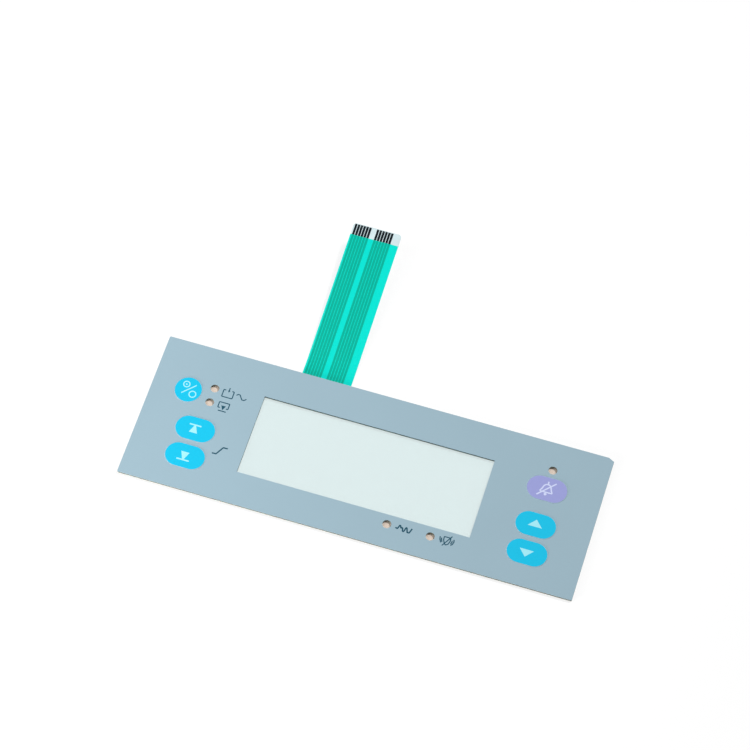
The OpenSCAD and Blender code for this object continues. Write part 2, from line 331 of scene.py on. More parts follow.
def opaque(rgb, factor=1):
    """A colour with its alpha, made lighter or darker by a factor."""
    return (*(min(value * factor, 1) for value in rgb), 1)


def grain_pattern(tree, grain, detail=2.0, stretch=(1, 1, 1)):
    """A cloudy pattern on the piece's own coordinates, with grains of a real size in metres."""
    place = add_node(tree, "ShaderNodeTexCoord").outputs["Object"]
    stretched = add_node(tree, "ShaderNodeMapping", inputs={"Vector": place, "Scale": stretch})
    pattern = add_node(
        tree,
        "ShaderNodeTexNoise",
        inputs={"Vector": stretched.outputs["Vector"], "Scale": 1 / grain, "Detail": detail},
    )
    return pattern.outputs["Fac"]


def grained(
    name, rgb, grain, roughness, relief, tones=None, tone_grain=None, stretch=(1, 1, 1), sockets=None
):
    """A solid finish whose grain shows in its colour, its gloss and its relief.

    Roughness is its lowest and highest value, relief its strength and its depth. Tones are the factors that
    the colour wanders between, with the same grain or one of its own. Sockets are the shader's other values.
    """
    material, tree, surface = new_material(name)
    pattern = grain_pattern(tree, grain, stretch=stretch)
    tint = opaque(rgb)
    if tones:
        mix = add_node(
            tree,
            "ShaderNodeMix",
            {"data_type": "RGBA"},
            {
                MIX_FACTOR: grain_pattern(tree, tone_grain) if tone_grain else pattern,
                MIX_A: opaque(rgb, tones[0]),
                MIX_B: opaque(rgb, tones[1]),
            },
        )
        tint = mix.outputs[MIX_RESULT]
    gloss = add_node(
        tree,
        "ShaderNodeMapRange",
        inputs={"Value": pattern, **NOISE_SPAN, "To Min": roughness[0], "To Max": roughness[1]},
    )
    bump = add_node(
        tree, "ShaderNodeBump", inputs={"Height": pattern, "Strength": relief[0], "Distance": relief[1]}
    )
    finish = add_node(
        tree,
        "ShaderNodeBsdfPrincipled",
        inputs={
            "Base Color": tint,
            "Roughness": gloss.outputs["Result"],
            "Normal": bump.outputs["Normal"],
            **(sockets or {}),
        },
    )
    tree.links.new(finish.outputs["BSDF"], surface)
    return material


def velvet_polyester(colours):
    """Polyester film, printed on its back, with an embossed velvet face."""
    # The velvet breaks every reflection up, so the grey looks even and satin from all sides. The real
    # grain is under 0.1 mm; it is drawn at 0.5 mm to show at all.
    return grained(
        "Velvet polyester, blue-grey",
        colours.overlay,
        grain=0.5 * MM,
        roughness=(0.5, 0.6),
        relief=(0.12, 0.02 * MM),
        tones=(1.03, 0.97),
        tone_grain=40 * MM,
        sockets={"IOR": POLYESTER_IOR, "Specular IOR Level": 0.2},
    )


def screen_ink(name, rgb, roughness=0.4):
    """Screen ink, pulled through a mesh and cured."""
    # The mesh leaves a slight mottle, in the colour and in the gloss. It is drawn at 0.8 mm; the
    # real mesh has some 100 threads to the centimetre.
    return grained(
        name,
        rgb,
        grain=0.8 * MM,
        roughness=(roughness, roughness + 0.1),
        relief=(0.1, 0.01 * MM),
        tones=(1.02, 0.95),
        sockets={"IOR": 1.5, "Specular IOR Level": 0.15},
    )


def clear_polyester(colours):
    """Clear polyester film, cast and polished."""
    # Almost all light goes straight through, a little cooler, and the two faces give a faint gloss.
    material, tree, surface = new_material("Clear polyester")
    tint = opaque(colours.window)
    clear = add_node(tree, "ShaderNodeBsdfTransparent", inputs={"Color": tint})
    gloss = add_node(
        tree,
        "ShaderNodeBsdfPrincipled",
        inputs={"Base Color": tint, "Roughness": 0.12, "IOR": POLYESTER_IOR},
    )
    facing = add_node(tree, "ShaderNodeLayerWeight", inputs={"Blend": 0.25})
    film = add_node(
        tree,
        "ShaderNodeMixShader",
        inputs={
            SHADER_FACTOR: facing.outputs["Fresnel"],
            SHADER_A: clear.outputs["BSDF"],
            SHADER_B: gloss.outputs["BSDF"],
        },
    )
    tree.links.new(film.outputs["Shader"], surface)
    return material


def milky_polyester(colours):
    """Heat-stabilised polyester, drawn and left a little milky."""
    # From behind, the tracks and the coat show through it as through thin ice.
    material, tree, surface = new_material("Milky polyester")
    tint = opaque(colours.circuit_film)
    haze = {"Value": grain_pattern(tree, 6 * MM), **NOISE_SPAN}
    gloss = add_node(tree, "ShaderNodeMapRange", inputs={**haze, "To Min": 0.18, "To Max": 0.26})
    cover = add_node(tree, "ShaderNodeMapRange", inputs={**haze, "To Min": 0.82, "To Max": 0.9})
    clear = add_node(tree, "ShaderNodeBsdfTransparent", inputs={"Color": tint})
    body = add_node(
        tree,
        "ShaderNodeBsdfPrincipled",
        inputs={"Base Color": tint, "Roughness": gloss.outputs["Result"], "IOR": POLYESTER_IOR},
    )
    film = add_node(
        tree,
        "ShaderNodeMixShader",
        inputs={
            SHADER_FACTOR: cover.outputs["Result"],
            SHADER_A: clear.outputs["BSDF"],
            SHADER_B: body.outputs["BSDF"],
        },
    )
    tree.links.new(film.outputs["Shader"], surface)
    return material


def filled_polyester(name, rgb):
    """Polyester sheet filled with pigment, so that no light passes."""
    # Filled films are even and dull, with a soft sheen at a low angle, much as the inks are.
    return screen_ink(name, rgb)


def acrylic_adhesive(colours):
    """Acrylic transfer adhesive, coated and cut."""
    # A soft amber-cream gum: dull, and a little rough where the blade dragged it.
    return grained(
        "Acrylic adhesive",
        colours.adhesive,
        grain=0.3 * MM,
        roughness=(0.5, 0.7),
        relief=(0.2, 0.02 * MM),
        tones=(1.05, 0.9),
        stretch=(1, 1, 4),
    )


def kraft_paper(colours):
    """Siliconed kraft paper, calendered smooth."""
    # Long fibres streak the tan, and the silicone gives it a slight shine.
    material, tree, surface = new_material("Siliconed kraft paper")
    fibres = grain_pattern(tree, 0.6 * MM, 4.0, (1, 5, 1))
    cloud = grain_pattern(tree, 9 * MM)
    streaks = add_node(tree, "ShaderNodeMapRange", inputs={"Value": fibres, **NOISE_SPAN})
    tan = add_node(
        tree,
        "ShaderNodeMix",
        {"data_type": "RGBA"},
        {
            MIX_FACTOR: streaks.outputs["Result"],
            MIX_A: opaque(colours.liner, 1.06),
            MIX_B: opaque(colours.liner, 0.9),
        },
    )
    shine = add_node(
        tree,
        "ShaderNodeMapRange",
        inputs={"Value": cloud, **NOISE_SPAN, "To Min": 0.45, "To Max": 0.6},
    )
    height = add_node(tree, "ShaderNodeMath", {"operation": "ADD"}, {0: fibres, 1: cloud})
    bump = add_node(
        tree,
        "ShaderNodeBump",
        inputs={"Height": height.outputs["Value"], "Strength": 0.15, "Distance": 0.02 * MM},
    )
    paper = add_node(
        tree,
        "ShaderNodeBsdfPrincipled",
        inputs={
            "Base Color": tan.outputs[MIX_RESULT],
            "Roughness": shine.outputs["Result"],
            "Normal": bump.outputs["Normal"],
        },
    )
    tree.links.new(paper.outputs["BSDF"], surface)
    return material


def silver_ink(colours):
    """Silver-flake conductive ink."""
    # The flakes lie flat and give a grey, sparkling half gloss.
    return grained(
        "Silver ink",
        colours.silver,
        grain=0.15 * MM,
        roughness=(0.4, 0.6),
        relief=(0.2, 0.01 * MM),
        sockets={"Metallic": 0.9},
    )


def coat_ink(name, rgb):
    """Insulating ink, printed in two passes and cured glossy."""
    # A wet-looking coat with a faint weave from the screen, drawn at 0.6 mm so that it shows.
    return grained(
        name,
        rgb,
        grain=0.6 * MM,
        roughness=(0.26, 0.36),
        relief=(0.1, 0.01 * MM),
        tones=(1.03, 0.94),
        stretch=(1, 0.4, 1),
        sockets={"IOR": 1.52, "Specular IOR Level": 0.1},
    )


def carbon_ink(colours):
    """Carbon ink over the contacts, printed thick."""
    # Soot in a binder: deep black, dull and finely grained.
    return grained(
        "Carbon ink",
        colours.carbon,
        grain=0.25 * MM,
        roughness=(0.55, 0.75),
        relief=(0.3, 0.01 * MM),
        tones=(1.4, 0.7),
        sockets={"Specular IOR Level": 0.1},
    )


def spring_steel(colours):
    """Stainless spring steel, rolled and stamped."""
    # Bright metal with the fine streaks of rolling along X.
    return grained(
        "Stainless spring steel",
        colours.steel,
        grain=0.4 * MM,
        roughness=(0.22, 0.34),
        relief=(0.1, 0.01 * MM),
        stretch=(0.1, 1, 1),
        sockets={"Metallic": 1.0},
    )


# Overlay

# A key whose ends lie closer to its middle than this is a round one
ROUND_REACH = 1 * MM
# Middles of the sight holes
LAMP_PLACES_MM = ((-69.5, 14.9), (-69.5, 8.3), (72.5, 20.2), (15.7, -22.55), (33.8, -22.55))


def panel_outline(sizes):
    """The overlay's outline: three round corners and one cut off."""
    low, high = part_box("graphic_overlay")
    radius = sizes.corner_radius
    return [
        *arc((low.x + radius, low.y + radius), radius, 180, 270, CORNER_STEPS),
        *arc((high.x - radius, low.y + radius), radius, 270, 360, CORNER_STEPS),
        (high.x, high.y - sizes.corner_cut_height),
        (high.x - sizes.corner_cut_width, high.y),
        *arc((low.x + radius, high.y - radius), radius, 90, 180, CORNER_STEPS),
    ]


def window_outline(sizes):
    """The opening over the clear film."""
    low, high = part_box("display_window")
    lap = sizes.window_lap
    return [
        (low.x + lap, low.y + lap),
        (high.x - lap, low.y + lap),
        (high.x - lap, high.y - lap),
        (low.x + lap, high.y - lap),
    ]


def key_outline(node, grow):
    """A key face's outline, grown by that much: a round, or two half rounds apart."""
    low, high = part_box(node)
    middle = (low + high) / 2
    radius = (high.y - low.y) / 2
    reach = (high.x - low.x) / 2 - radius
    if reach < ROUND_REACH:
        return circle(middle, radius + grow, 2 * KEY_END_STEPS)
    return [
        *arc((middle.x + reach, middle.y), radius + grow, -90, 90, KEY_END_STEPS),
        *arc((middle.x - reach, middle.y), radius + grow, 90, 270, KEY_END_STEPS),
    ]


def add_loop(bm, points, z):
    """A closed loop of vertices and edges at one height."""
    verts = [bm.verts.new((x, y, z)) for x, y in points]
    for a, b in zip(verts, verts[1:] + verts[:1]):
        bm.edges.new((a, b))
    return verts


def emboss_key(bm, node, rim, face_z, sizes):
    """Lifts a key out of the sheet from its rim, on a slope that eases in and out."""
    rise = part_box(node)[0].z - face_z
    outer = rim
    for step in range(1, RIM_STEPS + 1):
        share = step / RIM_STEPS
        height = face_z + rise * share * share * (3 - 2 * share)
        outline = key_outline(node, sizes.emboss_rim * (1 - share))
        inner = [bm.verts.new((x, y, height)) for x, y in outline]
        for i in range(len(inner)):
            bm.faces.new((outer[i - 1], outer[i], inner[i], inner[i - 1]))
        outer = inner
    bm.faces.new(outer)


def overlay_face(sizes):
    """Height of the overlay's flat face."""
    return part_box("graphic_overlay")[0].z + sizes.overlay_thickness


def overlay_mesh(sizes):
    """The overlay as one formed sheet: flat round its openings, lifted at the keys, then thickened."""
    face_z = overlay_face(sizes)
    bm = bmesh.new()
    add_loop(bm, panel_outline(sizes), face_z)
    add_loop(bm, window_outline(sizes), face_z)
    for x, y in LAMP_PLACES_MM:
        add_loop(bm, circle((x * MM, y * MM), sizes.lamp_diameter / 2, LAMP_STEPS), face_z)
    rims = {node: add_loop(bm, key_outline(node, sizes.emboss_rim), face_z) for node in KEY_NODES}
    bmesh.ops.triangle_fill(bm, use_beauty=True, edges=bm.edges[:], normal=(0, 0, 1))
    for node, rim in rims.items():
        emboss_key(bm, node, rim, face_z, sizes)
    bm.normal_update()
    bmesh.ops.reverse_faces(bm, faces=[face for face in bm.faces if face.normal.z < 0])
    draft = new_object("overlay_draft", mesh_from(bm, "overlay_draft"))
    solid = draft.modifiers.new("Thickness", "SOLIDIFY")
    solid.thickness = sizes.overlay_thickness
    solid.offset = -1
    solid.use_even_offset = True
    soft = draft.modifiers.new("Cut edge", "BEVEL")
    soft.width = sizes.edge_softness
    soft.segments = CUT_EDGE_STEPS
    soft.limit_method = "ANGLE"
    soft.angle_limit = CUT_EDGE_ANGLE
    mesh = evaluated_mesh(draft)
    for face in mesh.polygons:
        face.use_smooth = abs(face.normal.z) < LEVEL
    return mesh


class KEYPAD_OT_overlay(bpy.types.Operator):
    """Form the printed overlay with its openings and embossed keys"""

    bl_idname = "keypad.overlay"
    bl_label = "Overlay"

    def execute(self, context):
        scene = context.scene
        material = velvet_polyester(scene.keypad_colours)
        piece = finish_piece("overlay_sheet", overlay_mesh(scene.keypad_sizes), material)
        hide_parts("graphic_overlay")
        return {"FINISHED"}


class KEYPAD_OT_key_faces(bpy.types.Operator):
    """Print the key faces"""

    bl_idname = "keypad.key_faces"
    bl_label = "Key faces"

    def execute(self, context):
        colours = context.scene.keypad_colours
        cyan_nodes = [node for node in KEY_NODES if node != ALARM_KEY]
        dress(cyan_nodes, screen_ink("Screen ink, cyan", colours.cyan))
        dress([ALARM_KEY], screen_ink("Screen ink, lavender", colours.lavender))
        return {"FINISHED"}


# Signs


class InkDrawing:
    """One sign, drawn in millimetres round its own middle: lines to be swept and filled patches."""

    def __init__(self):
        self.lines = []
        self.patches = []

    def line(self, *points, closed=False):
        """A line through points."""
        self.lines.append((points, closed))

    def ring(self, x, y, radius):
        """A round line."""
        self.lines.append((circle((x, y), radius, RING_STEPS), True))

    def patch(self, *points):
        """A filled shape."""
        self.patches.append(points)

    def dot(self, x, y, radius):
        """A filled round."""
        self.patches.append(circle((x, y), radius, RING_STEPS))


def draw_on_standby(ink):
    """Two rounds with a stroke between them."""
    ink.ring(-1.8, 1.9, 1.3)
    ink.dot(-1.8, 1.85, 0.35)
    ink.ring(1.9, -1.9, 1.4)
    ink.line((-2.7, -2.5), (2.3, 2.5))


def draw_upper_limit(ink):
    """A pointer up to a bar."""
    ink.patch((-2.5, 1.4), (2.5, 1.4), (2.5, 2), (-2.5, 2))
    ink.patch((-1.75, -1.85), (1.75, -1.85), (0.3, 1.5), (-0.3, 1.5))


def draw_lower_limit(ink):
    """A pointer down to a bar."""
    ink.patch((-2.65, -2.05), (2.65, -2.05), (2.65, -1.45), (-2.65, -1.45))
    ink.patch((1.75, 1.9), (-1.75, 1.9), (-0.3, -1.55), (0.3, -1.55))


def draw_up(ink):
    """A pointer up."""
    ink.patch((-2.95, -1.55), (2.95, -1.55), (0, 1.7))


def draw_down(ink):
    """A pointer down."""
    ink.patch((2.95, 1.55), (-2.95, 1.55), (0, -1.7))


def draw_bell(ink):
    """A bell with its knob and clapper, crossed out."""
    crown = arc((0, 0.45), 1.6, 160, 20, RING_STEPS // 2)
    ink.line((-2.6, -1.4), (-1.95, -0.3), *crown, (1.95, -0.3), (2.6, -1.4))
    ink.line((-2.6, -1.5), (2.6, -1.5))
    ink.line((0, 2.1), (0, 3.4))
    ink.dot(-0.05, -2.4, 0.6)
    ink.line((-3.4, -3.4), (3.2, 3.3))


def draw_charging(ink):
    """A cell with its top open and an arrow going in."""
    ink.line((-1.3, 1.5), (-2.25, 1.5), (-2.25, -1.75), (2.2, -1.75), (2.2, 1.5), (1.3, 1.5))
    ink.line((0, 2.8), (0, 1.2))
    ink.patch((-0.5, 1.5), (0, 0.6), (0.5, 1.5))


def draw_mains(ink):
    """One wave of alternating current."""
    ink.line((-2.3, 0.4), (-1.7, 1), (-0.9, 1), (0.4, -0.95), (1.3, -1), (2.2, -0.2))


def draw_battery(ink):
    """A cell with its bottom open and an arrow going out to a line."""
    ink.line((-1.3, -0.8), (-2.2, -0.8), (-2.2, 1.75), (2.15, 1.75), (2.15, -0.8), (1.3, -0.8))
    ink.patch((-1, 0.3), (0, -1.8), (1, 0.3))
    ink.line((-1.7, -2.2), (1.7, -2.2))


def draw_limit_step(ink):
    """A step from a low level to a high one."""
    ink.line((-2.75, -1.8), (-1.05, -1.8), (0.95, 1.7), (2.8, 1.75))


def draw_pulse(ink):
    """A pulse wave."""
    first_beats = ((-3.4, -0.3), (-2.5, -0.6), (-1.8, 1.6), (-1.2, -0.1), (-0.7, 0.6), (-0.1, -1.5))
    last_beats = ((0.35, -0.8), (0.9, 1.5), (1.7, -1.1), (2.5, -1.1), (3.2, 1))
    ink.line(*first_beats, *last_beats)


def draw_sound(ink):
    """A sounder's shield with two waves on each side, crossed out."""
    left_side = ((-0.1, -1.9), (-0.7, -1.3), (-1.4, 0.2), (-1.5, 1.6))
    right_side = ((1.2, 1.6), (1.3, 0.2), (0.8, -1.3))
    ink.line(*left_side, *right_side, closed=True)
    ink.line((-3.1, 1.2), (-2.9, 0), (-2.2, -1.35))
    ink.line((-2.4, 0.8), (-2.25, 0), (-1.75, -1))
    ink.line((2.6, 1.3), (2.85, 0.3), (2.5, -0.8), (1.9, -1.5))
    ink.line((2, 0.7), (2.1, 0), (1.75, -0.9))
    ink.line((-1.4, -2.5), (1.6, 2.5))


# The signs on the keys: name, drawing, place of its middle in millimetres, the node it is printed on
KEY_SIGNS = (
    ("sign_on_standby", draw_on_standby, (-79.3, 11.4), "key_on_standby"),
    ("sign_upper_limit", draw_upper_limit, (-71.5, -5.2), "key_upper_limit"),
    ("sign_lower_limit", draw_lower_limit, (-71.45, -18.1), "key_lower_limit"),
    ("sign_up", draw_up, (72.35, -4.55), "key_up"),
    ("sign_down", draw_down, (72.1, -18.2), "key_down"),
)
BELL_SIGNS = (
    ("sign_alarm_silence", draw_bell, (72.4, 11.4), ALARM_KEY),
)
# The signs on the panel: name, drawing, place of its middle in millimetres
FINE_SIGNS = (
    ("sign_charging", draw_charging, (-63.55, 14.1)),
    ("sign_mains", draw_mains, (-57.8, 14.1)),
    ("sign_battery", draw_battery, (-63.5, 8)),
    ("sign_sound", draw_sound, (40.7, -22.5)),
)
BOLD_SIGNS = (
    ("sign_limit_step", draw_limit_step, (-58.45, -11.5)),
    ("sign_pulse", draw_pulse, (22.8, -22.6)),
)


def ink_line_tree():
    """Geometry tree that sweeps drawn lines into flat raised strokes with round bends."""
    tree, given = new_tree(
        "Ink line",
        {
            "Width": "NodeSocketFloat",
            "Height": "NodeSocketFloat",
            "Bend": "NodeSocketFloat",
            "Ink": "NodeSocketMaterial",
        },
    )
    lines = add_node(tree, "GeometryNodeMeshToCurve", inputs={"Mesh": given["Mesh"]})
    bent = add_node(
        tree,
        "GeometryNodeFilletCurve",
        {"mode": "POLY"},
        {
            "Curve": lines.outputs["Curve"],
            "Count": LINE_BEND_STEPS,
            "Radius": given["Bend"],
            "Limit Radius": True,
        },
    )
    level = add_node(
        tree, "GeometryNodeSetCurveNormal", {"mode": "Z_UP"}, {"Curve": bent.outputs["Curve"]}
    )
    section = add_node(
        tree,
        "GeometryNodeCurvePrimitiveQuadrilateral",
        inputs={"Width": given["Width"], "Height": given["Height"]},
    )
    strokes = add_node(
        tree,
        "GeometryNodeCurveToMesh",
        inputs={
            "Curve": level.outputs["Curve"],
            "Profile Curve": section.outputs["Curve"],
            "Fill Caps": True,
        },
    )
    end_tree(tree, strokes.outputs["Mesh"], given["Ink"])
    return tree


def add_patch(bm, points, low, high):
    """A filled shape with a thickness."""
    under = [bm.verts.new((x, y, low)) for x, y in points]
    over = [bm.verts.new((x, y, high)) for x, y in points]
    bm.faces.new(over)
    bm.faces.new(under[::-1])
    for i in range(len(points)):
        bm.faces.new((under[i - 1], under[i], over[i], over[i - 1]))


def sign_mesh(draw, place_mm, surface_z, line_width, tree, material, sizes):
    """A sign's mesh: its swept lines and its patches, sitting on a surface."""
    ink = InkDrawing()
    draw(ink)
    low = surface_z - sizes.ink_sink
    high = surface_z + sizes.ink_height

    def placed(points):
        return [((place_mm[0] + x) * MM, (place_mm[1] + y) * MM) for x, y in points]

    middle = (low + high) / 2
    paths = [
        ([(x, y, middle + i * sizes.ink_pass) for x, y in placed(points)], closed)
        for i, (points, closed) in enumerate(ink.lines)
    ]
    draft = new_object("sign_draft", path_mesh("sign_draft", paths))
    run_tree(
        draft,
        tree,
        {"Width": line_width, "Height": high - low, "Bend": sizes.line_corner, "Ink": material},
    )
    lines = evaluated_mesh(draft)
    bm = bmesh.new()
    bm.from_mesh(lines)
    bpy.data.meshes.remove(lines)
    for i, points in enumerate(ink.patches, start=len(ink.lines)):
        add_patch(bm, placed(points), low, high + i * sizes.ink_pass)
    bmesh.ops.recalc_face_normals(bm, faces=bm.faces[:])
    for face in bm.faces:
        face.smooth = False
    return mesh_from(bm, "sign")


class KEYPAD_OT_key_signs(bpy.types.Operator):
    """Print the signs on the keys"""

    bl_idname = "keypad.key_signs"
    bl_label = "Key signs"

    def execute(self, context):
        scene = context.scene
        sizes = scene.keypad_sizes
        tree = ink_line_tree()
        white = screen_ink("Screen ink, white", scene.keypad_colours.key_sign)
        pale = screen_ink("Screen ink, pale lavender", scene.keypad_colours.bell_sign)
        for signs, line_width, material in (
            (KEY_SIGNS, sizes.key_line, white),
            (BELL_SIGNS, sizes.bold_line, pale),
        ):
            for name, draw, place, node in signs:
                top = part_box(node)[1].z
                mesh = sign_mesh(draw, place, top, line_width, tree, material, sizes)
                finish_piece(name, mesh, material)
        return {"FINISHED"}


class KEYPAD_OT_panel_signs(bpy.types.Operator):
    """Print the signs beside the lamp holes"""

    bl_idname = "keypad.panel_signs"
    bl_label = "Panel signs"

    def execute(self, context):
        scene = context.scene
        sizes = scene.keypad_sizes
        tree = ink_line_tree()
        material = screen_ink("Screen ink, dark teal", scene.keypad_colours.panel_sign, roughness=0.45)
        face_z = overlay_face(sizes)
        for signs, line_width in ((FINE_SIGNS, sizes.fine_line), (BOLD_SIGNS, sizes.bold_line)):
            for name, draw, place in signs:
                mesh = sign_mesh(draw, place, face_z, line_width, tree, material, sizes)
                finish_piece(name, mesh, material)
        return {"FINISHED"}


# Window and stack


class KEYPAD_OT_window(bpy.types.Operator):
    """Clear the display window"""

    bl_idname = "keypad.window"
    bl_label = "Window"

    def execute(self, context):
        dress(["display_window"], clear_polyester(context.scene.keypad_colours))
        return {"FINISHED"}


class KEYPAD_OT_stack(bpy.types.Operator):
    """Finish the films, adhesives and liner under the overlay"""

    bl_idname = "keypad.stack"
    bl_label = "Stack"

    def execute(self, context):
        colours = context.scene.keypad_colours
        dress(["overlay_adhesive", "rear_adhesive"], acrylic_adhesive(colours))
        # The dark films are partly painted shade: they darken the cut walls of the sight holes and the
        # window, and the front edge.
        dress(["dome_retainer", "dome_spacer"], filled_polyester("Dark polyester", colours.dark_film_and_wall_shade))
        dress(["release_liner"], kraft_paper(colours))
        return {"FINISHED"}


class KEYPAD_OT_domes(bpy.types.Operator):
    """Polish the snap domes"""

    bl_idname = "keypad.domes"
    bl_label = "Domes"

    def execute(self, context):
        dress(DOME_NODES, spring_steel(context.scene.keypad_colours))
        return {"FINISHED"}


# Tail


def tail_point(distance, height, sizes):
    """Y and Z of a point of the tail, by its distance from the panel and its height over the film's back."""
    lean = min(max((distance - sizes.tail_level) / sizes.tail_bend, 0), sizes.tail_angle)
    level = min(distance, sizes.tail_level)
    straight = max(distance - sizes.tail_level - sizes.tail_bend * sizes.tail_angle, 0)
    swing = sizes.tail_bend - height
    edge_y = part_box("graphic_overlay")[1].y
    back_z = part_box("circuit_film")[0].z
    return (
        edge_y + level + swing * math.sin(lean) + straight * math.cos(lean),
        back_z + sizes.tail_bend - swing * math.cos(lean) + straight * math.sin(lean),
    )


def ridge_tree():
    """Geometry tree that sweeps one ridge along the tail and repeats it in two groups."""
    tree, given = new_tree(
        "Coat ridges",
        {
            "Count": "NodeSocketInt",
            "Pitch": "NodeSocketFloat",
            "First": "NodeSocketFloat",
            "Second group": "NodeSocketFloat",
            "Width": "NodeSocketFloat",
            "Height": "NodeSocketFloat",
            "Ink": "NodeSocketMaterial",
        },
    )
    run = add_node(tree, "GeometryNodeMeshToCurve", inputs={"Mesh": given["Mesh"]})
    level = add_node(tree, "GeometryNodeSetCurveNormal", {"mode": "Z_UP"}, {"Curve": run.outputs["Curve"]})
    # A round as wide as one unit, flattened to the ridge's width and height
    round_section = add_node(
        tree, "GeometryNodeCurvePrimitiveCircle", inputs={"Resolution": RIDGE_STEPS, "Radius": 0.5}
    )
    flat = add_node(tree, "ShaderNodeCombineXYZ", inputs={"X": given["Width"], "Y": given["Height"], "Z": 1})
    section = add_node(
        tree,
        "GeometryNodeTransform",
        inputs={"Geometry": round_section.outputs["Curve"], "Scale": flat.outputs["Vector"]},
    )
    ridge = add_node(
        tree,
        "GeometryNodeCurveToMesh",
        inputs={
            "Curve": level.outputs["Curve"],
            "Profile Curve": section.outputs["Geometry"],
            "Fill Caps": True,
        },
    )
    step = add_node(tree, "ShaderNodeCombineXYZ", inputs={"X": given["Pitch"]})
    places = add_node(tree, "GeometryNodeJoinGeometry")
    for start in (given["First"], given["Second group"]):
        corner = add_node(tree, "ShaderNodeCombineXYZ", inputs={"X": start})
        row = add_node(
            tree,
            "GeometryNodeMeshLine",
            {"mode": "OFFSET"},
            {
                "Count": given["Count"],
                "Start Location": corner.outputs["Vector"],
                "Offset": step.outputs["Vector"],
            },
        )
        tree.links.new(row.outputs["Mesh"], places.inputs["Geometry"])
    copies = add_node(
        tree,
        "GeometryNodeInstanceOnPoints",
        inputs={"Points": places.outputs["Geometry"], "Instance": ridge.outputs["Mesh"]},
    )
    end_tree(tree, copies.outputs["Instances"], given["Ink"])
    return tree


def ridge_mesh(sizes, material):
    """The coat's rise over the twelve tracks of the tail."""
    height = sizes.film_thickness + sizes.coat_thickness
    bend_end = sizes.tail_level + sizes.tail_bend * sizes.tail_angle
    bend_step = (bend_end - sizes.tail_level) / TAIL_BEND_STEPS
    bend = [sizes.tail_level + bend_step * i for i in range(TAIL_BEND_STEPS + 1)]
    coat_end = sizes.tail_length - sizes.bare_length
    run = [(0, *tail_point(distance, height, sizes)) for distance in (0, *bend, coat_end)]
    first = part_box("tail_stiffener")[0].x + sizes.first_ridge
    group_step = (sizes.ridges_per_group - 1) * sizes.ridge_pitch + sizes.group_gap
    draft = new_object("ridge_draft", path_mesh("ridge_draft", [(run, False)]))
    run_tree(
        draft,
        ridge_tree(),
        {
            "Count": sizes.ridges_per_group,
            "Pitch": sizes.ridge_pitch,
            "First": first,
            "Second group": first + group_step,
            "Width": sizes.ridge_width,
            "Height": 2 * sizes.ridge_height,
            "Ink": material,
        },
    )
    mesh = evaluated_mesh(draft)
    mesh.shade_smooth()
    mesh.set_sharp_from_angle(angle=RIDGE_EDGE_ANGLE)
    return mesh


class KEYPAD_OT_tail(bpy.types.Operator):
    """Finish the circuit and its tail, with the coat's ridges over the tracks"""

    bl_idname = "keypad.tail"
    bl_label = "Tail"

    def execute(self, context):
        scene = context.scene
        colours = scene.keypad_colours
        dress(["circuit_film"], milky_polyester(colours))
        dress(["tail_stiffener"], filled_polyester("White polyester", colours.white_film))
        dress(["silver_tracks"], silver_ink(colours))
        dress(["insulating_coat"], coat_ink("Insulating ink", colours.coat))
        dress(["carbon_fingers"], carbon_ink(colours))
        material = coat_ink("Insulating ink over silver", colours.coat_over_track)
        finish_piece("coat_ridges", ridge_mesh(scene.keypad_sizes, material), material)
        return {"FINISHED"}


# Stage

FLOOR_SIZE = 6.0
FLOOR_DROP = 0.05 * MM
PAPER_WHITE = (0.9, 0.9, 0.9, 1)
# Share of the paper's light that is its glow for the camera, and the glow's strength
FLOOR_GLOW = 0.7
GLOW_STRENGTH = 1.1
# The lamps: name, the property with its power, then its width, its place and its aim in metres
LAMPS = (
    ("Main lamp", "main_light", 0.75, (1.1, 1.8, 2.5), (0, 0.02, 0)),
    ("Fill lamp", "fill_light", 0.3, (-0.25, 0.02, 0.3), (-0.08, 0, 0)),
    ("Front lamp", "front_light", 0.15, (-0.3, -0.4, 0.1), (0, 0.02, 0)),
)


def seen_directly(tree):
    """One for what the camera sees, straight, in a gloss or through a film, and nought for other light."""
    path = add_node(tree, "ShaderNodeLightPath").outputs
    seen = path["Is Camera Ray"]
    for other in ("Is Glossy Ray", "Is Transmission Ray"):
        either = add_node(tree, "ShaderNodeMath", {"operation": "MAXIMUM"}, {0: seen, 1: path[other]})
        seen = either.outputs["Value"]
    return seen


def paper_floor():
    """White background paper, matte."""
    # It glows for the camera alone, short of white, and the lamps lift it the rest of the way, so that
    # open floor is white and the keypad's own shadow still shows.
    material, tree, surface = new_material("Background paper")
    glow = add_node(
        tree, "ShaderNodeMath", {"operation": "MULTIPLY"}, {0: seen_directly(tree), 1: FLOOR_GLOW}
    )
    paper = add_node(tree, "ShaderNodeBsdfDiffuse", inputs={"Color": PAPER_WHITE})
    white = add_node(tree, "ShaderNodeEmission", inputs={"Color": (1, 1, 1, 1), "Strength": GLOW_STRENGTH})
    mixed = add_node(
        tree,
        "ShaderNodeMixShader",
        inputs={
            SHADER_FACTOR: glow.outputs["Value"],
            SHADER_A: paper.outputs["BSDF"],
            SHADER_B: white.outputs["Emission"],
        },
    )
    tree.links.new(mixed.outputs["Shader"], surface)
    return material


def add_floor():
    """The floor, a hair below the keypad."""
    bm = bmesh.new()
    bmesh.ops.create_grid(bm, x_segments=1, y_segments=1, size=FLOOR_SIZE / 2)
    bmesh.ops.translate(bm, verts=bm.verts[:], vec=(0, 0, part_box("release_liner")[0].z - FLOOR_DROP))
    floor = new_object("floor", mesh_from(bm, "floor"))
    floor.data.materials.append(paper_floor())


def add_lamp(name, watts, width, place, aim):
    """A soft square lamp turned towards a point."""
    light = bpy.data.lights.new(name, "AREA")
    light.energy = watts
    light.size = width
    lamp = new_object(name, light)
    lamp.location = place
    lamp.rotation_euler = (Vector(aim) - Vector(place)).to_track_quat("-Z", "Y").to_euler()


